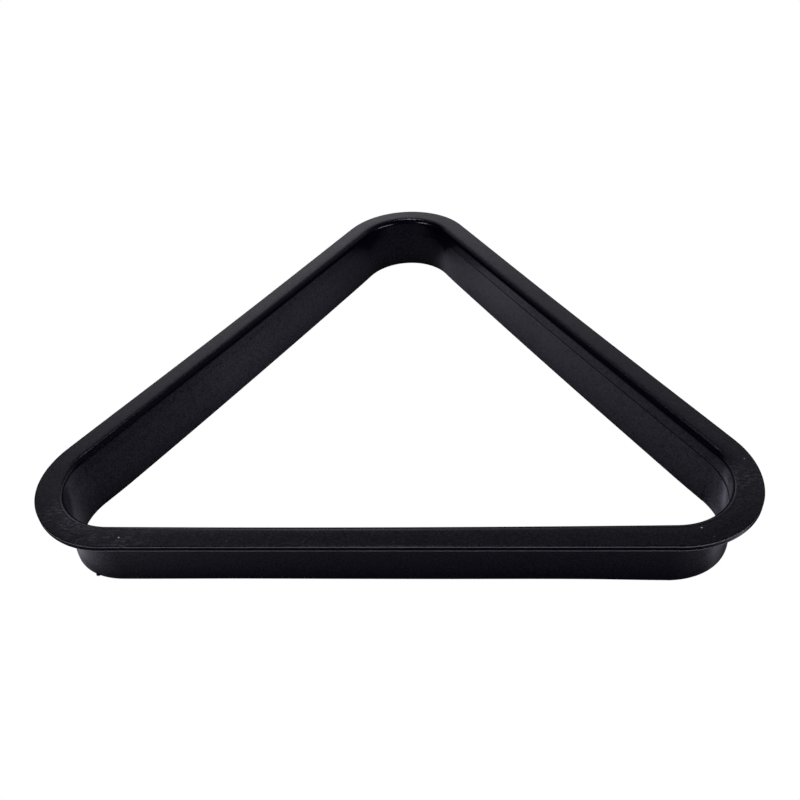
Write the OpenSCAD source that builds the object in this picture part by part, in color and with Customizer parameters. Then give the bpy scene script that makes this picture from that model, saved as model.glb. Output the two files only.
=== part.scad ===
// Triangle rack for fifteen 57.15 mm (2 1/4 in) pool balls.
//
// One injection moulding: a thin upright wall that follows a rounded
// equilateral triangle, with a flat rim turned outward along its top edge.
// Every outline runs parallel to one centre triangle: straight sides at a
// chosen distance, and a corner arc about each of its three vertices.
//
// +Z is up, and the rack stands on z = 0. The origin is on the table plane,
// in the middle of the rack's length and width. +Y points at the apex (head
// ball) and -Y at the rear side, where the last five balls stand in a row.

/* [Balls] */
// Diameter of one ball
ball_d = 57.15; // [50:0.05:62]
// Gap between the outer balls and each side
ball_gap = 0.6; // [0.3:0.05:1.5]

/* [Wall] */
// Thickness of the upright wall
wall_t = 3.2; // [2:0.1:4.5]
// Radius of the inside corners
corner_r = 27.6; // [20:0.2:34]
// Depth of the shallow relief in each inside corner
corner_relief = 0.4; // [0.2:0.1:0.8]

/* [Rim] */
// Height of the rack, table to top of the rim
rack_h = 32; // [30:0.5:44]
// Distance the rim stands out from the wall
rim_out = 8.9; // [4:0.1:14]
// Thickness of the rim
rim_t = 3; // [2:0.1:4]
// Radius of the lead-in from the rim to the inside of the wall
lead_r = 3.2; // [1:0.1:4.5]

/* [Moulding] */
// Height of the parting line on the inside of the wall
part_z = 22.6; // [12:0.2:24]
// Sideways offset between the upper and the lower mould core
core_shift = 0.2; // [0.1:0.05:0.3]

/* [Hidden] */

$fn = 120;

rack_color = [0.05, 0.05, 0.06];

// Distance from the centre to the inside of each side: the outer ball centres
// form a triangle with sides (side_balls - 1) * ball_d long
side_balls = 5;
inside_dist = (side_balls - 1) * ball_d / (2 * sqrt(3)) + ball_d / 2 + ball_gap;

// Centre triangle: distance from its centre to each side, and half a side
centre_dist = inside_dist - corner_r;
half_side = centre_dist * sqrt(3);
// The rack reaches further toward the apex than toward the rear side
mid_y = centre_dist / 2;

// Radii about the vertices of the centre triangle
wall_r = corner_r + wall_t;
rim_r = wall_r + rim_out;
crown = 0.02;                             // outer corners stand proud of the sides
upper_corner_r = corner_r + corner_relief / 4;  // shallower relief above part_z

over = 2;         // how far a core or a lead-in cut runs past the moulding
lead_lap = 0.02;  // the lead-in arc passes the wall face and rim top by this
lead_z = rack_h - lead_r + lead_lap;      // centre of the lead-in arc
upper_shift = [-core_shift, 0, 0];        // moves everything the upper core forms

// Vertex k of the centre triangle, counted from the right end of the rear side
function vertex(k) = 2 * centre_dist * [cos(120 * k - 30), sin(120 * k - 30)];
// Direction that side k faces; side 0 is the rear side
function facing(k) = [cos(120 * k - 90), sin(120 * k - 90)];

// Rounded triangle: arcs of one radius about the vertices, and straight
// sides at their own distance from the centre triangle.
module outline(arc_r, side_offset) {
    for (k = [0:2]) translate(vertex(k)) circle(r = arc_r);
    // Each vertex gives one corner to each of the two sides that meet there
    polygon([for (k = [0:2], turn = [0, 1]) vertex(k) + side_offset * facing(k + turn)]);
}

// Upright wall, filled; it ends halfway up the rim so that the two fuse.
module wall_blank() {
    linear_extrude(height = rack_h - rim_t / 2) outline(wall_r, wall_r - crown);
}

// Flat rim along the top, filled.
module rim_blank() {
    translate([0, 0, rack_h - rim_t])
        linear_extrude(height = rim_t) outline(rim_r, rim_r - crown);
}

// Inside of the wall below the parting line.
module lower_core() {
    translate([0, 0, -over])
        linear_extrude(height = part_z + over)
            outline(corner_r + corner_relief, corner_r);
}

// Inside of the wall above the parting line.
module upper_core() {
    translate([0, 0, part_z])
        linear_extrude(height = rack_h - part_z + over)
            outline(upper_corner_r, corner_r);
}

// Section cut away by the lead-in: x runs outward from the centre triangle,
// y is height, and the inside face of the wall is at face_x.
module lead_section(face_x) {
    difference() {
        translate([face_x / 2, lead_z]) square([face_x / 2 + lead_r, lead_r + over]);
        translate([face_x + lead_r - lead_lap, lead_z]) circle(r = lead_r);
    }
}

// Lead-in along the three straight sides.
module side_lead_ins() {
    for (k = [0:2])
        rotate([0, 0, 120 * k])
            translate([half_side, -centre_dist, 0])
                rotate([90, 0, -90])
                    linear_extrude(height = 2 * half_side)
                        lead_section(corner_r);
}

// Lead-in turned round the three corners.
module corner_lead_ins() {
    for (k = [0:2])
        translate(vertex(k))
            rotate_extrude() lead_section(upper_corner_r);
}

// The cores are cut first, then the side lead-ins, then the corner ones.
module rack_moulding() {
    color(rack_color)
        translate([0, -mid_y, 0])
            difference() {
                difference() {
                    difference() {
                        union() {
                            wall_blank();
                            rim_blank();
                        }
                        lower_core();
                        translate(upper_shift) upper_core();
                    }
                    translate(upper_shift) side_lead_ins();
                }
                translate(upper_shift) corner_lead_ins();
            }
}

rack_moulding();
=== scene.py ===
"""A moulded triangular ball rack, standing on z = 0 with its apex toward +Y.

One section, described by (outward, up) points in millimetres, is swept round a centre
triangle. The base side faces -Y; left is -X and right is +X.
"""
import math
from collections import namedtuple
from functools import reduce

import bmesh
import bpy
import numpy as np
from mathutils import Matrix, Vector


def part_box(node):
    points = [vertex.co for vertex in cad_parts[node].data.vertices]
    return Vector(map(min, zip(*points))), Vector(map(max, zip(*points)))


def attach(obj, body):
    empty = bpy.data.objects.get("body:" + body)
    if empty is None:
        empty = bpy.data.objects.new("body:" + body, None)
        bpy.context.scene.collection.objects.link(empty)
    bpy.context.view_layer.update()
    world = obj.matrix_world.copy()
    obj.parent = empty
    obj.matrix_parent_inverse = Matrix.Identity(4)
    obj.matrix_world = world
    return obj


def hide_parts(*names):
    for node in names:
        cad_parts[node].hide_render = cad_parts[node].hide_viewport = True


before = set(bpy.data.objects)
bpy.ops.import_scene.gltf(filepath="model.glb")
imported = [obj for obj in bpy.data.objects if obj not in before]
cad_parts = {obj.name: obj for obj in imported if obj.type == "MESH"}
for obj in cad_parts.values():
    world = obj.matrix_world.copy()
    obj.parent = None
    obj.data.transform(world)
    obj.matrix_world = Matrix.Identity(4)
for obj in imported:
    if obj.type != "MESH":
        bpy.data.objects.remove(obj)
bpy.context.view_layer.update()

MM = 0.001
ROOT3 = math.sqrt(3)

# ---------------------------------------------------------------- sizes, mm
_, rack_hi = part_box("rack_moulding")
RACK_H = rack_hi.z / MM
BALL_D = 57.15
BALL_GAP = 0.6
# Middle of the rack to the inner face of a side: five balls lie along each side
INNER_DIST = 2 * BALL_D / ROOT3 + BALL_D / 2 + BALL_GAP
IN_R = 27.6                        # centre triangle to inner face
OUT_R = IN_R + 3.2                 # centre triangle to outer face
TRI_R = INNER_DIST - IN_R          # inscribed radius of the centre triangle
HALF_SIDE = TRI_R * ROOT3
MID_Y = TRI_R / 2                  # middle of the triangle's height, brought to y = 0
RIM_R = rack_hi.x / MM - HALF_SIDE
RIM_T = 3.0
UNDER_Z = RACK_H - RIM_T
FILLET = 0.8                       # between the rim's underside and the wall
WALL_TOP_Z = UNDER_Z - FILLET
WALL_LEAN = 0.15                   # outward, from foot to top of the outer wall
LEAD_R = 3.2                       # round lead-in at the top of the inner face
PART_Z = 22.6                      # parting line
CORE_SHIFT = 0.2                   # upper core, to the left
RELIEF_LOW, RELIEF_UP = 0.4, 0.1   # extra room in the corners, low and high
DRAFT_LOW = 0.0022
DRAFT_UP = math.tan(math.radians(1.5))
FOOT_IN, FOOT_OUT = 0.2, 0.18      # rounding of the foot, inner and outer edge
RIM_TOP_ROUND, RIM_LOW_ROUND = 0.25, 0.2
if abs(RIM_R - (OUT_R + 8.9)) > 0.3 or abs(RACK_H - 32.0) > 0.3:
    raise RuntimeError("the CAD node has another size than this mesh is built for")

# How far each side bows inward at its middle: base, right, left
BOW = (0.0, 0.65, 0.85)
# Where the trimmed gate stands, degrees round the left corner's arc
GATE_AT = 96.0
GATE_STEPS = (-3.1, -2.6, -2.2, -1.7, -0.9, 0.2, 0.9, 1.6, 2.2, 2.7, 3.2)
# Stations close to each end of a side, mm from the end
NEAR_END = [0.5, 1.0, 1.5, 2.0, 2.5, 3.0, 3.5, 4.0, 4.4, 4.7, 5.0, 5.6, 6.5, 8.0, 10.0, 13.0]
MIDDLE_FROM, MIDDLE_COUNT = 17.0, 41
CORNER_STEPS = 56

# Surface marks kept on every point, each an attribute of the mesh
MARKS = ("wear", "upper", "line", "slot")

# place, facing: point on the centre triangle, and the way the section faces there
# toe: how far the inner foot leans inward     tight: 1 where the lead-in is smallest
# bow: inward shift of the section             ease: 1 where the corner is relieved
# turn: degrees to the nearer end of the arc   gate: 1 at the trimmed gate
# trim: how far the outer foot is cut back
Station = namedtuple("Station", "place facing toe tight bow ease turn gate trim",
                     defaults=(0.0,) * 5)


# ---------------------------------------------------------------- stations
def facing(degrees):
    a = math.radians(degrees)
    return np.array([math.cos(a), math.sin(a)])


def vertex(k):
    """Corner of the centre triangle: 0 right, 1 apex, 2 left."""
    return 2 * TRI_R * facing(120 * k - 30)


def smoothstep(t):
    t = min(1.0, max(0.0, t))
    return t * t * (3 - 2 * t)


def side_stations(k):
    """Side 0 is the base, 1 the right and 2 the left."""
    start, end = vertex(k - 1), vertex(k)
    length = float(np.linalg.norm(end - start))
    along = (end - start) / length
    middle = list(np.linspace(MIDDLE_FROM, length - MIDDLE_FROM, MIDDLE_COUNT))
    for t in NEAR_END + middle + [length - v for v in reversed(NEAR_END)]:
        v = 2 * t / length - 1  # -1 to 1 along the side
        toe = (0.0, 0.45, 0.40 + 0.35 * smoothstep(v + 0.2))[k]
        trim = 0.28 * smoothstep((v + 1) / 0.5) * smoothstep((1 - v) / 0.3)
        trim += 0.25 * math.exp(-((v - 0.6) / 0.3) ** 2)
        yield Station(
            start + along * t, facing(120 * k - 90),
            toe=toe * smoothstep(min(t, length - t) / 25 + (0.6, 0.3, 0.3)[k]),
            tight=v * v if k == 0 else 0.0,
            bow=BOW[k] * max(0.0, 1 - v * v) ** 1.5,
            trim=trim if k == 0 else 0.0)


def corner_stations(k):
    angles = [120 * j / CORNER_STEPS for j in range(CORNER_STEPS + 1)]
    if k == 2:  # finer round the gate
        angles = sorted(angles + [GATE_AT + v for v in GATE_STEPS])
    for a in angles:
        turn = min(a, 120 - a)
        gate_off = abs(a - GATE_AT) if k == 2 else 99.0
        yield Station(
            vertex(k), facing(120 * k - 90 + a),
            toe=(0.0, 0.10, 0.16)[k],
            tight=(smoothstep((115 - a) / 25), 0.0, smoothstep((a - 5) / 25))[k],
            ease=smoothstep(turn / (30, 55, 30)[k]),
            turn=turn,
            gate=smoothstep((2.3 - gate_off) / 1.5))


# ---------------------------------------------------------------- the section
def arc_points(out, z, radius, start, end, steps):
    """steps + 1 points on an arc, angles in degrees from outward toward up."""
    angles = [math.radians(start + (end - start) * i / steps) for i in range(steps + 1)]
    return [(out + radius * math.cos(a), z + radius * math.sin(a)) for a in angles]


def lobe(way, x, y, power):
    """A swelling that is greatest where the section faces (x, y)."""
    return max(0.0, x * way[0] + y * way[1]) ** power


class Profile:
    """The closed loop of points of one section: (outward, up, sharp, marks)."""

    def __init__(self, bow):
        self.bow = bow
        self.points = []

    def add(self, out, z, sharp=False, **marks):
        values = [marks.get(name, 0.0) for name in MARKS]
        self.points.append((out - self.bow, z, sharp, values))

    def arc(self, *arc, **marks):
        for out, z in arc_points(*arc):
            self.add(out, z, **marks)


def inner_wall(profile, st):
    """Inner foot up to the lead-in. Returns where the foot and the lead-in stand."""
    low = IN_R + RELIEF_LOW * st.ease

    def low_face(z):
        return low + (PART_Z - z) * DRAFT_LOW - st.toe * max(0.0, 1 - z / 20)

    foot = low_face(0.0)
    profile.arc(foot + FOOT_IN, FOOT_IN, FOOT_IN, 270, 180, 5, wear=0.55)
    for z in (0.35, 2.0, 4.5, 7.0, 9.5, 12.0, 14.5, 17.0, 19.0, 20.2):
        profile.add(low_face(z), z)

    # parting line: the upper core's edge is proud on the right, with no ledge on the left
    face_x = st.facing[0]
    shift = -CORE_SHIFT * face_x if face_x > 0 else 0.0
    up = low + shift
    mark = smoothstep((face_x - 0.25) / 0.45)
    groove = 0.004 + 0.18 * mark
    part = PART_Z + 1.2 - 0.072 * min(st.turn, 34.0)
    wide = mark * smoothstep(st.turn / 8)
    # painted shade: the parting-line groove on the right is darkened, and wider round the corner
    profile.add(low + 0.002, part - 0.80)
    profile.add(low + 0.003, part - 0.62, slot=0.8 * wide)
    profile.add(low + 0.004, part - 0.44, slot=0.7 * mark + 0.3 * wide)
    profile.add(low + groove, part - 0.34, slot=mark)
    profile.add(low + groove, part - 0.02, slot=mark, sharp=True)
    profile.add(up + 0.06 * mark, part, sharp=True, upper=1, slot=mark)
    profile.add(up + 0.01 * mark, part + 0.12, upper=1, slot=mark)
    profile.add(up, part + 0.30, upper=1, slot=0.7 * wide)

    # upper face, opening upward, then the lead-in
    lead_r = LEAD_R - 1.3 * st.tight
    lead_z = RACK_H - lead_r

    def upper_face(z):
        k = (z - PART_Z) / (lead_z - PART_Z)
        relief = RELIEF_LOW + (RELIEF_UP - RELIEF_LOW) * k
        return IN_R + relief * st.ease + shift + max(0.0, z - part - 0.3) * DRAFT_UP

    for z in (24.2, 25.2, 26.2, 27.2, 28.2):
        profile.add(upper_face(z), z, upper=1)
    lead_end = upper_face(lead_z) + lead_r
    for i, (out, z) in enumerate(arc_points(lead_end, lead_z - 0.1, lead_r, 180, 93, 16)):
        profile.add(out, z, upper=max(0.0, 1 - i / 12))
    return foot, lead_end


def rim(profile, st, lead_end):
    """Top, edge and underside of the rim, and the fillet below it."""
    face_x, face_y = st.facing
    rim_r = RIM_R + 0.65 * lobe(st.facing, -0.985, -0.174, 8)
    rim_r += 0.4 * lobe(st.facing, 0.85, -0.527, 12)

    # top, falling very slightly toward the lead-in
    for k in (0.0, 0.08, 0.16, 0.24, 0.32, 0.42, 0.6, 0.8, 0.975):
        out = lead_end + (rim_r - 0.35 - lead_end) * k
        profile.add(out, RACK_H - 0.005 * max(0.0, 34.5 - out) ** 2)

    # painted highlights run along the base's top and bottom arrises; painted shade darkens the
    # edge face round the lower corners
    base = smoothstep((-face_y - (0.45 if face_x > 0 else 0.20)) / 0.38)
    side = max(smoothstep((face_x - 0.60) / 0.15), smoothstep((-face_x - 0.45) / 0.3))
    side *= smoothstep((0.1 - face_y) / 0.3)
    face_shade = max(0.75 * base * (1 - smoothstep((face_x - 0.1) / 0.4)), 0.92 * side)

    # edge, rounded above and below
    top_arc = arc_points(rim_r - RIM_TOP_ROUND, RACK_H - RIM_TOP_ROUND, RIM_TOP_ROUND, 90, 0, 6)
    for i, (out, z) in enumerate(top_arc):
        # painted shade: the top arris is darkened away from the base
        arris_shade = (0.45 + 0.35 * side) * (1 - base) * min(1.0, 0.4 + 0.3 * i)
        profile.add(out, z, wear=0.6 - 0.5 * side, line=base if i == 6 else 0.0, slot=arris_shade)
    profile.add(rim_r - 0.002, RACK_H - 0.68, wear=0.2, line=base)
    profile.add(rim_r - 0.004, RACK_H - 0.86, wear=0.2, slot=face_shade)
    profile.add(rim_r - 0.012, UNDER_Z + 0.62, wear=0.2, slot=face_shade)
    profile.add(rim_r - 0.014, UNDER_Z + 0.42, wear=0.2, line=base)
    low_arc = arc_points(rim_r - 0.02 - RIM_LOW_ROUND, UNDER_Z + RIM_LOW_ROUND,
                         RIM_LOW_ROUND, 0, -90, 6)
    for i, (out, z) in enumerate(low_arc):
        profile.add(out, z, wear=0.8, line=base if i < 5 else 0.0)

    start, end = rim_r - 0.32, OUT_R + WALL_LEAN + FILLET
    for k in (0.03, 0.3, 0.6, 0.95):
        profile.add(start + (end - start) * k, UNDER_Z)
    profile.arc(end, WALL_TOP_Z, FILLET, 90, 180, 6)


def outer_wall(profile, st, foot):
    """Outer face down to the foot, and the underside of the foot."""
    swell = 0.6 * lobe(st.facing, -0.6, -0.8, 8) + 0.25 * lobe(st.facing, 0.7, -0.71, 8)

    def outer_face(z):
        nub = 0.8 * st.gate * smoothstep((1.4 - z) / 0.9)
        return (OUT_R + WALL_LEAN * z / WALL_TOP_Z + swell * smoothstep((7 - z) / 6) + nub
                - st.trim * max(0.0, 1 - z / 14))

    for z in (WALL_TOP_Z - 0.2, 24.0, 20.5, 17.0, 13.5, 10.0, 6.5, 4.5, 3.0, 1.6, 1.1, 0.6):
        profile.add(outer_face(z), z)
    start, end = outer_face(0.0) - FOOT_OUT, foot + FOOT_IN
    profile.arc(start, FOOT_OUT, FOOT_OUT, 0, -90, 5, wear=0.5)
    for k in (0.08, 0.5, 0.92):
        profile.add(start + (end - start) * k, 0.0)


def section(st):
    profile = Profile(st.bow)
    foot, lead_end = inner_wall(profile, st)
    rim(profile, st, lead_end)
    outer_wall(profile, st, foot)
    return profile.points


def build_rack():
    stations = []
    for k in range(3):
        stations += [*side_stations(k), *corner_stations(k)]
    sections = [section(st) for st in stations]
    count, size = len(sections), len(sections[0])
    verts, marks = [], []
    for st, points in zip(stations, sections):
        for out, z, _, values in points:
            x, y = st.place + st.facing * out
            verts.append((x * MM, (y - MID_Y) * MM, z * MM))
            marks.append(values)
    faces = []
    for i in range(count):
        j = (i + 1) % count
        for a in range(size):
            b = (a + 1) % size
            faces.append((i * size + a, i * size + b, j * size + b, j * size + a))
    mesh = bpy.data.meshes.new("rack_body")
    mesh.from_pydata(verts, [], faces)
    mesh.validate()
    rack = bpy.data.objects.new("rack_body", mesh)
    bpy.context.scene.collection.objects.link(rack)

    bm = bmesh.new()
    bm.from_mesh(mesh)
    bmesh.ops.recalc_face_normals(bm, faces=bm.faces)
    bm.to_mesh(mesh)
    bm.free()

    for polygon in mesh.polygons:
        polygon.use_smooth = True
    sharp_rows = {a for a in range(size) if sections[0][a][2]}
    flags = []
    for edge in mesh.edges:
        a, b = edge.vertices
        flags.append(a % size == b % size and a % size in sharp_rows)
    sharp = mesh.attributes.new("sharp_edge", "BOOLEAN", "EDGE")
    sharp.data.foreach_set("value", flags)
    for i, name in enumerate(MARKS):
        field = mesh.attributes.new(name, "FLOAT", "POINT")
        field.data.foreach_set("value", [values[i] for values in marks])
    return rack


# ---------------------------------------------------------------- node helpers
class Value:
    """A number in a node tree; arithmetic on it adds math nodes."""

    def __init__(self, graph, socket):
        self.graph = graph
        self.socket = socket

    def __add__(self, other): return self.graph.math("ADD", self, other)
    def __radd__(self, other): return self.graph.math("ADD", other, self)
    def __sub__(self, other): return self.graph.math("SUBTRACT", self, other)
    def __rsub__(self, other): return self.graph.math("SUBTRACT", other, self)
    def __mul__(self, other): return self.graph.math("MULTIPLY", self, other)
    def __rmul__(self, other): return self.graph.math("MULTIPLY", other, self)
    def __truediv__(self, other): return self.graph.math("DIVIDE", self, other)
    def __lt__(self, other): return self.graph.math("LESS_THAN", self, other)
    def __gt__(self, other): return self.graph.math("GREATER_THAN", self, other)
    def __abs__(self): return self.graph.math("ABSOLUTE", self)

    def clamped(self):
        return self.graph.math("ADD", self, 0.0, clamp=True)

    def smooth(self, over, to=(0.0, 1.0), kind="SMOOTHSTEP"):
        """Goes from to[0] to to[1] while this value goes from over[0] to over[1]."""
        node = self.graph.new("ShaderNodeMapRange", interpolation_type=kind)
        names = ("Value", "From Min", "From Max", "To Min", "To Max")
        for name, value in zip(names, (self, *over, *to)):
            self.graph.put(node.inputs[name], value)
        return Value(self.graph, node.outputs["Result"])

    def linear(self, over, to=(0.0, 1.0)):
        return self.smooth(over, to, kind="LINEAR")

    def ramp(self, stops, span=(0.0, 1.0)):
        """Grey levels at stops (place, level); the places run over the span."""
        node = self.graph.new("ShaderNodeValToRGB")
        elements = node.color_ramp.elements
        while len(elements) > 1:
            elements.remove(elements[-1])
        for i, (place, level) in enumerate(stops):
            position = (place - span[0]) / (span[1] - span[0])
            element = elements.new(position) if i else elements[0]
            element.position = position
            element.color = (level, level, level, 1.0)
        self.graph.put(node.inputs[0], self)
        return self.graph.xyz(node.outputs["Color"])[0]


class Graph:
    """Short forms for building a node tree."""

    def __init__(self, tree):
        self.tree = tree
        tree.nodes.clear()

    def new(self, kind, **props):
        node = self.tree.nodes.new(kind)
        for name, value in props.items():
            setattr(node, name, value)
        return node

    def put(self, socket, value):
        if isinstance(value, Value):
            value = value.socket
        if isinstance(value, bpy.types.NodeSocket):
            self.tree.links.new(value, socket)
        else:
            socket.default_value = value

    def node(self, kind, output=0, **inputs):
        """A new node with its inputs filled by name. Returns one output socket."""
        node = self.new(kind)
        for name, value in inputs.items():
            self.put(node.inputs[name.replace("_", " ")], value)
        return node.outputs[output]

    def math(self, operation, *values, clamp=False):
        node = self.new("ShaderNodeMath", operation=operation, use_clamp=clamp)
        for socket, value in zip(node.inputs, values):
            self.put(socket, value)
        return Value(self, node.outputs[0])

    def length(self, x, y):
        return self.math("SQRT", x * x + y * y)

    def noise(self, vector, scale, detail, rough, distortion=0.0):
        return Value(self, self.node("ShaderNodeTexNoise", "Fac", Vector=vector, Scale=scale,
                                     Detail=detail, Roughness=rough, Distortion=distortion))

    def mapping(self, vector, scale=(1, 1, 1), turn=0.0, offset=(0, 0, 0)):
        """Scaled, turned by degrees about z, and offset."""
        return self.node("ShaderNodeMapping", Vector=vector, Scale=scale,
                         Rotation=(0, 0, math.radians(turn)), Location=offset)

    def voronoi(self, vector, scale):
        """Distance to the nearest cell point, and that cell's three random numbers."""
        distance = self.node("ShaderNodeTexVoronoi", "Distance", Vector=vector, Scale=scale)
        return Value(self, distance), self.xyz(distance.node.outputs["Color"])

    def mix_color(self, factor, first, second):
        node = self.new("ShaderNodeMix", data_type="RGBA")
        self.put(node.inputs[0], factor)
        for i, color in ((6, first), (7, second)):  # the colour sockets A and B
            self.put(node.inputs[i], (*color, 1.0) if isinstance(color, tuple) else color)
        return node.outputs[2]

    def mix_shader(self, factor, first, second):
        node = self.new("ShaderNodeMixShader")
        for socket, value in zip(node.inputs, (factor, first, second)):
            self.put(socket, value)
        return node.outputs[0]

    def xyz(self, vector):
        node = self.new("ShaderNodeSeparateXYZ")
        self.put(node.inputs[0], vector)
        return [Value(self, socket) for socket in node.outputs]


def blend(factor, full, none):
    return full * factor + none * (1.0 - factor)


def new_material(name):
    material = bpy.data.materials.new(name)
    material.use_nodes = True
    return material, Graph(material.node_tree)


# ---------------------------------------------------------------- the plastic
def near(g, pos, x, y, full, none):
    """1 within `full` of a place on the plan, 0 beyond `none`, millimetres."""
    distance = g.length(pos[0] - x * MM, pos[1] - y * MM)
    return distance.smooth(over=(none * MM, full * MM))


def handling_marks(g, coords, top, handled, cloud):
    """Long scratches on flat tops, and short nicks where the rack is handled."""
    scratches, nicks = [], []
    # direction in degrees, scale along the scratch (small is long), seed
    for degrees, along, seed in ((12, 22.0, 0.0), (63, 30.0, 3.1), (-38, 26.0, 7.7),
                                 (101, 18.0, 11.3)):
        stretched = g.mapping(coords, (along, 1500.0, 60.0), degrees, (seed, seed * 2.0, 0.0))
        fine = g.noise(stretched, scale=1.0, detail=1.0, rough=0.4, distortion=0.15)
        where = g.noise(g.mapping(coords, offset=(seed, 0, 0)), scale=60.0, detail=2.0, rough=0.5)
        scratches.append(fine.smooth(over=(0.70, 0.76)) * where.smooth(over=(0.54, 0.68)))
        stretched = g.mapping(coords, (260.0, 1500.0, 60.0), degrees, (seed * 3.0, seed, 0.0))
        short = g.noise(stretched, scale=1.0, detail=1.0, rough=0.4, distortion=0.3)
        nicks.append(short.smooth(over=(0.60, 0.70)))

    def strongest(values):
        return reduce(lambda a, b: g.math("MAXIMUM", a, b), values)

    return (strongest(scratches) * top,
            strongest(nicks) * (handled * top) * cloud.smooth(over=(0.40, 0.56)))


def specks(g, coords, pos, top, upright, handled):
    """Fine dust, sparse specks, and three larger specks of lint on the rim."""
    distance, pick = g.voronoi(coords, scale=800.0)
    size = pick[0].linear(over=(0.0, 1.0), to=(0.08, 0.24))
    dust = (distance < size) * (pick[1] > 0.66) * (top * (0.06 + handled * 0.80))
    distance, pick = g.voronoi(g.mapping(coords, offset=(0.37, 0.11, 0.0)), scale=150.0)
    speck = (distance < 0.05) * (pick[0] > 0.86) * (top * 0.6 + upright * 0.2)
    lint = (near(g, pos, -109.9, -136.1, full=0.28, none=0.5)
            + near(g, pos, 152.2, -93.1, full=0.2, none=0.4) * 0.55
            + near(g, pos, 126.0, -131.6, full=0.25, none=0.45) * 0.8)
    return dust, speck, lint * top


def rack_plastic():
    material, g = new_material("rack_plastic")
    coords = g.node("ShaderNodeTexCoord", "Object")
    normal = g.xyz(g.node("ShaderNodeNewGeometry", "True Normal"))
    pos = g.xyz(coords)
    wear, upper, line, slot = (
        Value(g, g.new("ShaderNodeAttribute", attribute_name=name).outputs["Fac"])
        for name in MARKS)

    # 1 on flat tops, 1 on upright walls
    top = normal[2].smooth(over=(0.80, 0.97))
    upright = abs(normal[2]).smooth(over=(0.35, 0.08))

    # slow changes in gloss over the moulding, and finer and finer grain
    slow = g.noise(coords, scale=14.0, detail=2.0, rough=0.45)
    cloud = g.noise(coords, scale=95.0, detail=4.0, rough=0.6)
    pebble = g.noise(coords, scale=1150.0, detail=3.0, rough=0.6)
    patchy = g.noise(coords, scale=330.0, detail=3.0, rough=0.6)
    grain = g.noise(coords, scale=4200.0, detail=2.0, rough=0.5)
    peel = g.noise(coords, scale=420.0, detail=2.0, rough=0.5)

    def drawn_up(stretch, **noise):
        return g.noise(g.mapping(coords, scale=(1, 1, stretch)), **noise)

    # upright flow and tool marks
    flow = drawn_up(0.12, scale=55.0, detail=3.0, rough=0.55)
    streak = drawn_up(0.02, scale=800.0, detail=2.0, rough=0.5)
    streak_wide = drawn_up(0.03, scale=240.0, detail=2.0, rough=0.5)

    # the two base corners are the most handled
    handled = (near(g, pos, -137, -124, full=2, none=14)
               + near(g, pos, 147, -107, full=2, none=15) * 0.75
               + near(g, pos, -115, -134, full=6, none=23) * 0.75).clamped()
    scratches, nicks = handling_marks(g, coords, top, handled, cloud)
    dust, speck, lint = specks(g, coords, pos, top, upright, handled)
    rub = wear * g.noise(coords, scale=160.0, detail=4.0, rough=0.6).smooth(over=(0.50, 0.80))
    uneven = g.noise(coords, scale=120.0, detail=3.0, rough=0.55)
    # painted highlight: pale lines along the base's top and bottom rim arrises, uneven in strength
    edge = line * uneven.linear(over=(0.3, 0.7), to=(0.75, 1.0))

    base = g.mix_color(slow, (0.0040, 0.0030, 0.0105), (0.0054, 0.0042, 0.0130))
    for mask, amount, color in (
            (handled * top, 0.045, (0.16, 0.155, 0.17)),
            (rub, 0.25, (0.030, 0.029, 0.036)),
            (scratches, 0.30, (0.080, 0.078, 0.095)),
            (nicks, 0.80, (0.16, 0.155, 0.18)),
            (dust, 0.80, (0.20, 0.195, 0.21)),
            (speck, 0.6, (0.30, 0.30, 0.31))):
        base = g.mix_color(mask * amount, base, color)
    # painted highlight on the base's rim arrises, paler toward the right
    highlight_grey = g.mix_color(pos[0].smooth(over=(0.105, 0.130)), (0.42, 0.41, 0.435),
                       (0.55, 0.54, 0.56))
    base = g.mix_color(edge, base, highlight_grey)
    base = g.mix_color(lint, base, (0.95, 0.95, 0.95))
    # painted shade: the groove, the rim's edge face and its far arris go near black
    base = g.mix_color(slot * 0.8, base, (0.0006, 0.0005, 0.0012))

    rough = cloud.linear(over=(0.3, 0.7), to=(0.17, 0.21))
    rough = rough + top * 0.02 + (flow - 0.5) * (upright * 0.08)
    for mask, amount in ((pebble - 0.5, 0.30), (rub, 0.15), (scratches + nicks, 0.15),
                         (dust + lint, 0.4), (edge, 0.35), (slot, 0.6)):
        rough = rough + mask * amount

    bump = None
    for height, strength, distance in (  # distance in metres
            (slow, 0.35, 0.0006),
            (peel, 0.35, 0.000020),
            (streak_wide * upright, 0.60, 0.00004),
            (streak * upright, 0.50, 0.000012),
            (pebble, 0.50, 0.000018),
            (grain, 0.35, 0.0000025),
            (dust + (speck + lint) - (scratches + nicks) * 0.6, 0.5, 0.00002)):
        below = {"Normal": bump} if bump else {}
        bump = g.node("ShaderNodeBump", Strength=strength, Distance=distance, Height=height,
                      **below)

    # grain varies the sheen, the upper mould half left a duller face; painted shade dulls the
    # parting-line groove, the rim's edge face and its far arris
    sheen = 0.5 + (pebble - 0.5) * (0.95 + upright * 1.1) + (patchy - 0.5) * 0.30
    sheen = (sheen - upper * 0.06) * (1.0 - slot * 0.90)
    shader = g.node("ShaderNodeBsdfPrincipled", Base_Color=base, Roughness=rough.clamped(),
                    Normal=bump, IOR=1.50, Specular_IOR_Level=sheen.clamped())
    g.put(g.new("ShaderNodeOutputMaterial").inputs["Surface"], shader)
    return material


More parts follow.
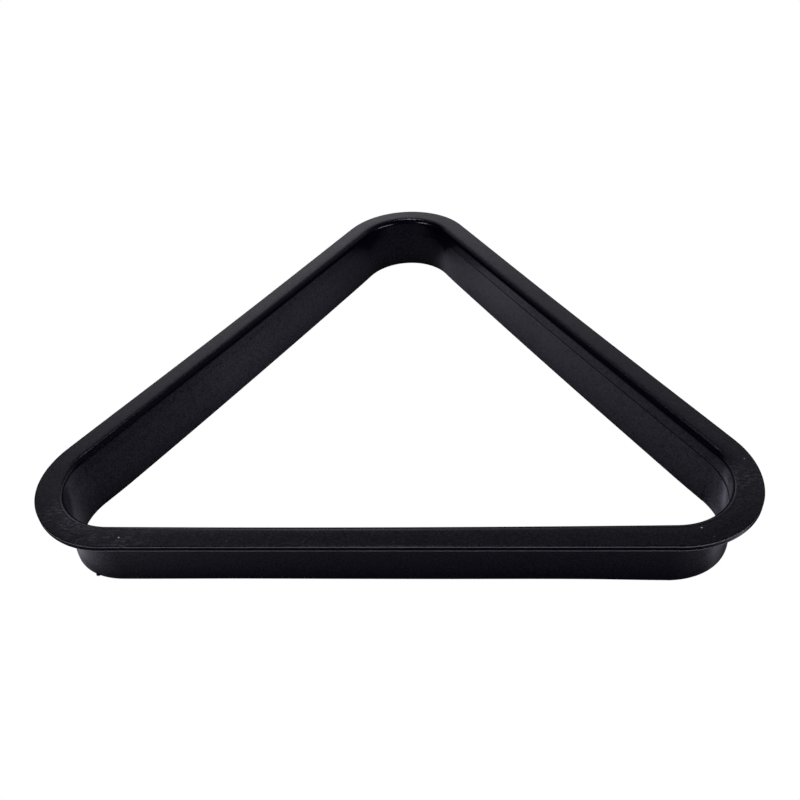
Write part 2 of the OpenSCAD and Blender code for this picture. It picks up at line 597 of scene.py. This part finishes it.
# ---------------------------------------------------------------- the world
# Brightness of the sky by the sine of the elevation: (sine, level)
SKY = (
    (0.0, 0.03), (0.30, 0.05), (0.36, 0.15), (0.40, 0.92), (0.445, 1.09), (0.469, 0.93),
    (0.492, 0.60), (0.515, 0.52), (0.545, 0.48), (0.574, 0.47), (0.602, 0.42), (0.629, 0.34),
    (0.656, 0.27), (0.682, 0.23), (0.700, 0.17), (0.715, 0.145), (0.731, 0.13), (0.766, 0.13),
    (0.819, 0.08), (0.90, 0.01), (1.0, 0.0))
# Soft lights, degrees: elevation, azimuth from +Y toward +X, half width, half height,
# softness; then level
PANELS = (
    (31, -131, 10, 4, 1.5, 6.0),
    (20, 127, 17, 3.5, 1.5, 6.0),
    (72, -18, 6, 4, 1.0, 9.0),
    (50, 70, 16, 8, 4, 0.08))


def panel(g, ray, elevation, azimuth, half_w, half_h, soft, level):
    e, a = math.radians(elevation), math.radians(azimuth)
    center = Vector((math.sin(a) * math.cos(e), math.cos(a) * math.cos(e), math.sin(e)))
    right = Vector((math.cos(a), -math.sin(a), 0.0))

    def dot(axis):
        node = g.new("ShaderNodeVectorMath", operation="DOT_PRODUCT")
        g.put(node.inputs[0], ray)
        g.put(node.inputs[1], tuple(axis))
        return Value(g, node.outputs["Value"])

    def window(axis, half):
        edges = [math.sin(math.radians(v)) for v in (half + soft, half - soft)]
        return abs(dot(axis)).smooth(over=edges)

    front = dot(center).smooth(over=(0.0, 0.1))
    return window(right, half_w) * window(right.cross(center), half_h) * (front * level)


def build_world():
    world = bpy.data.worlds.new("studio")
    bpy.context.scene.world = world
    world.use_nodes = True
    g = Graph(world.node_tree)
    ray = g.node("ShaderNodeTexCoord", "Generated")
    x, y, z = g.xyz(ray)

    # a wide bright band beyond the apex, 24 to 45 degrees up, fading above and below
    far = y.smooth(over=(0.32, 0.62), to=(0.06, 1.0))
    # a little brighter on the left below 40 degrees, dimmer at both far ends above it
    low = z.smooth(over=(0.66, 0.60))
    right_dim = x.smooth(over=(0.19, 0.28), to=(0.0, 0.45)) * z.smooth(over=(0.675, 0.715))
    high = (1.0 - right_dim) * x.linear(over=(-0.35, -0.20), to=(1.28, 1.0))
    tilt = blend(low, x.linear(over=(-0.35, 0.15), to=(1.36, 0.90)), high)
    tilt = tilt * x.smooth(over=(-0.445, -0.40), to=(0.45, 1.0))
    low_right = x.smooth(over=(-0.09, 0.0)) * z.smooth(over=(0.56, 0.50))
    light = z.ramp(SKY) * far * (tilt * (1.0 - 0.24 * low_right))
    for sizes in PANELS:
        light = light + panel(g, ray, *sizes)

    # the camera itself sees plain white
    seen = Value(g, g.node("ShaderNodeLightPath", "Is Camera Ray"))
    background = g.node("ShaderNodeBackground", Strength=light * (1.0 - seen) + seen,
                        Color=g.mix_color(seen, (1.0, 0.98, 1.09), (1.0, 1.0, 1.0)))
    g.put(g.new("ShaderNodeOutputWorld").inputs["Surface"], background)


# ---------------------------------------------------------------- the floor
FLOOR_CELLS, FLOOR_HALF, FLOOR_Z = 24, 4.0, -0.0002  # metres

# Tables of (azimuth of the ray in degrees, level)
OUTSIDE = (
    (-180, 0.095), (-166, 0.10), (-156, 0.11), (-149, 0.15), (-146, 0.185), (-135, 0.21),
    (-122, 0.27), (-110, 0.34), (-97, 0.43), (-85, 0.52), (-73, 0.66), (-60, 0.80), (-30, 0.10),
    (30, 0.10), (60, 0.20), (73, 0.46), (85, 0.55), (97, 0.25), (110, 0.17), (122, 0.145),
    (135, 0.125), (148, 0.11), (165, 0.085), (180, 0.095))
RIGHT_TURN = (
    (-180, 1.0), (-80, 1.0), (-70, 1.5), (-61, 2.8), (-52, 3.9), (-43, 4.6), (-34, 4.8),
    (-27, 4.3), (-20, 2.8), (-12, 1.4), (-2, 0.8), (8, 0.5), (20, 0.2), (180, 0.2))
LEFT_TURN = (
    (-180, 0.15), (-25, 0.2), (-13, 0.4), (0, 0.9), (11, 1.7), (22, 1.9), (35, 1.5), (50, 1.2),
    (70, 1.0), (180, 1.0))
TOWARD_BASE = ((-180, 1.0), (-108, 1.0), (-84, 0.0), (84, 0.0), (108, 1.0), (180, 1.0))
# Light inside for the right and left walls: (y in mm, level)
FROM_RIGHT = (
    (-95, 0.17), (-76, 0.185), (-64, 0.20), (-43, 0.22), (-21, 0.24), (0, 0.26), (22, 0.285),
    (43, 0.28), (65, 0.32), (86, 0.32), (104, 0.25), (130, 0.25))
FROM_LEFT = (
    (-95, 0.165), (-67, 0.185), (-45, 0.20), (-25, 0.21), (-3, 0.27), (18, 0.26), (40, 0.22),
    (61, 0.215), (83, 0.19), (104, 0.125), (125, 0.09))
# Shade by distance from the wall, as a fraction of the reach in metres: (fraction, level)
SHADE_IN_REACH, SHADE_OUT_REACH = 0.030, 0.180
SHADE_IN = (
    (0.0, 0.40), (0.057, 0.58), (0.17, 0.76), (0.33, 0.92), (0.52, 1.12), (0.63, 1.08), (1.0, 1.0))
SHADE_OUT = (
    (0.0, 0.25), (0.017, 0.42), (0.033, 0.63), (0.05, 0.78), (0.072, 1.0), (0.12, 1.15),
    (0.17, 1.0), (0.22, 0.42), (0.30, 0.28), (0.60, 0.18), (1.0, 0.12))


def triangle_reach(g, pos):
    """Distance outside the centre triangle, folded into one third of it."""
    x = abs(pos[0]) - HALF_SIDE * MM
    y = pos[1] + (MID_Y + TRI_R) * MM
    fold = (x + y * ROOT3) > 0.0
    folded_x = (x - y * ROOT3) * 0.5
    folded_y = (x * ROOT3 + y) * -0.5
    x, y = blend(fold, folded_x, x), blend(fold, folded_y, y)
    on_side = g.math("MINIMUM", g.math("MAXIMUM", x, -2 * HALF_SIDE * MM), 0.0)
    return g.length(x - on_side, y) * g.math("SIGN", y) * -1.0


def floor_glow(g, pos, azimuth):
    """Level of the floor's light, and 1 inside the rack or 0 outside it."""
    turn = azimuth / (2 * math.pi) + 0.5
    along = pos[1].linear(over=(-0.12, 0.13))

    def by_azimuth(stops):
        return turn.ramp(stops, span=(-180, 180))

    def heading(start, end):
        return azimuth.smooth(over=(math.radians(start), math.radians(end)))

    reach = triangle_reach(g, pos)
    depth = IN_R * MM - reach

    # which wall the light is for: by heading, and near the base corners by place
    base = pos[1].smooth(over=(-0.055, -0.075))
    is_right = (azimuth * -1.0 + pos[0] * 20.0 * base).smooth(over=(-0.12, 0.12))

    # the glow of the right corner is a pool along the wall, ended by the shadow of the rim
    from_base = pos[1] + (MID_Y + TRI_R) * MM
    past = from_base - 0.0168
    slope = g.math("MAXIMUM", past, 0.0) * 0.93 + g.math("MINIMUM", past, 0.0) * 0.36
    pool = (depth - 0.0045 - slope).smooth(over=(0.0018, -0.0018))
    shadow = from_base.smooth(over=(0.0234, 0.0252)) * heading(8, -8) * heading(-74, -62)
    right_turn = by_azimuth(RIGHT_TURN)
    right_turn = (g.math("MINIMUM", right_turn, 1.0)
                  + g.math("MAXIMUM", right_turn - 1.0, 0.0) * pool)
    right_pool = 1.0 - shadow * 0.62
    right_pool = right_pool * from_base.smooth(over=(0.0130, 0.0200), to=(1.35, 0.92))
    right_turn = right_turn * (1.0 + (right_pool - 1.0) * heading(-72, -60))
    steep = heading(24, 14) * heading(-30, -15)
    left_pool = 1.0 - depth.smooth(over=(0.0052, 0.0068), to=(0.0, 0.92)) * steep
    left_turn = by_azimuth(LEFT_TURN) * left_pool

    def wall_field(stops, corner):
        return along.ramp(stops, span=(-120, 130)) * (1.0 + (corner - 1.0) * base)

    # deep in the apex the light from the left side falls away
    apex = pos[1].smooth(over=(0.085, 0.108))
    right_field = wall_field(FROM_RIGHT, right_turn) * (
        1.0 - apex * pos[0].smooth(over=(0.012, -0.006), to=(0.0, 0.72)))
    field = blend(is_right, right_field, wall_field(FROM_LEFT, left_turn))
    toward = by_azimuth(TOWARD_BASE)
    field = field * (1.0 - toward) + toward * 0.095

    shade_in = depth.linear(over=(0.0, SHADE_IN_REACH)).ramp(SHADE_IN)
    # the far foot of the apex is lit as well, seen from its right-hand wall
    lift = apex * (heading(-84, -72) * heading(-38, -48))
    shade_in = shade_in + (1.05 - shade_in) * lift
    shade_out = (reach - OUT_R * MM).linear(over=(0.0, SHADE_OUT_REACH)).ramp(SHADE_OUT)
    within = depth.smooth(over=(-0.002, 0.0))
    return blend(within, field * shade_in, by_azimuth(OUTSIDE) * shade_out), within


def floor_material():
    """White to the camera from above and clear from below; a dimmer glow to other rays."""
    material, g = new_material("studio_floor")
    geometry = g.new("ShaderNodeNewGeometry").outputs
    incoming = g.xyz(geometry["Incoming"])
    pos = g.xyz(geometry["Position"])
    # the way the ray travels, from +Y toward +X
    azimuth = g.math("ARCTAN2", incoming[0] * -1.0, incoming[1] * -1.0)
    glow, within = floor_glow(g, pos, azimuth)
    tint = g.mix_color(within, (1.0, 0.97, 1.15), (1.0, 0.965, 1.20))
    soft = g.node("ShaderNodeEmission", Color=tint, Strength=glow)
    seen = g.node("ShaderNodeEmission", Strength=1.0)
    clear = g.node("ShaderNodeBsdfTransparent")
    front = g.mix_shader(geometry["Backfacing"], seen, clear)
    mixed = g.mix_shader(g.node("ShaderNodeLightPath", "Is Camera Ray"), soft, front)
    g.put(g.new("ShaderNodeOutputMaterial").inputs["Surface"], mixed)
    return material


def build_floor():
    ticks = [(i / FLOOR_CELLS - 0.5) * 2 * FLOOR_HALF for i in range(FLOOR_CELLS + 1)]
    row = len(ticks)
    corners = [i * row + j for i in range(FLOOR_CELLS) for j in range(FLOOR_CELLS)]
    mesh = bpy.data.meshes.new("studio_floor")
    mesh.from_pydata([(x, y, FLOOR_Z) for x in ticks for y in ticks], [],
                     [(a, a + row, a + row + 1, a + 1) for a in corners])
    floor = bpy.data.objects.new("studio_floor", mesh)
    bpy.context.scene.collection.objects.link(floor)
    floor.data.materials.append(floor_material())


# ---------------------------------------------------------------- the camera
CAMERA_DIST = 480.149                  # mm from the target
CAMERA_TARGET = (-13.101, 43.723)      # mm, y from the middle of the centre triangle
CAMERA_ELEVATION, CAMERA_AZIMUTH, CAMERA_ROLL = 38.135, 7.067, -5.548  # azimuth from -Y to +X


def build_camera():
    e, a, roll = map(math.radians, (CAMERA_ELEVATION, CAMERA_AZIMUTH, CAMERA_ROLL))
    back = Vector((math.sin(a) * math.cos(e), -math.cos(a) * math.cos(e), math.sin(e)))
    target = Vector((CAMERA_TARGET[0], CAMERA_TARGET[1] - MID_Y, 0.0))
    place = (target + back * CAMERA_DIST) * MM
    level_right = (-back).cross(Vector((0, 0, 1))).normalized()
    level_up = level_right.cross(-back)
    right = level_right * math.cos(roll) + level_up * math.sin(roll)
    up = level_up * math.cos(roll) - level_right * math.sin(roll)
    data = bpy.data.cameras.new("camera")
    data.sensor_fit = "HORIZONTAL"
    data.sensor_width = 36.0
    data.lens = 38.52711
    data.shift_x, data.shift_y = 0.02691875, -0.03180375
    data.clip_start, data.clip_end = 0.01, 50.0
    camera = bpy.data.objects.new("camera", data)
    rows = [*zip(right, up, back, place), (0, 0, 0, 1)]
    camera.matrix_world = Matrix(rows)
    bpy.context.scene.collection.objects.link(camera)
    bpy.context.scene.camera = camera


# ---------------------------------------------------------------- put together
rack = build_rack()
rack.data.materials.append(rack_plastic())
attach(rack, "root")
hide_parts("rack_moulding")

build_world()
build_floor()
build_camera()

view = bpy.context.scene.view_settings
view.view_transform = "Standard"
view.look = "None"
view.exposure = 0.0
view.gamma = 1.0
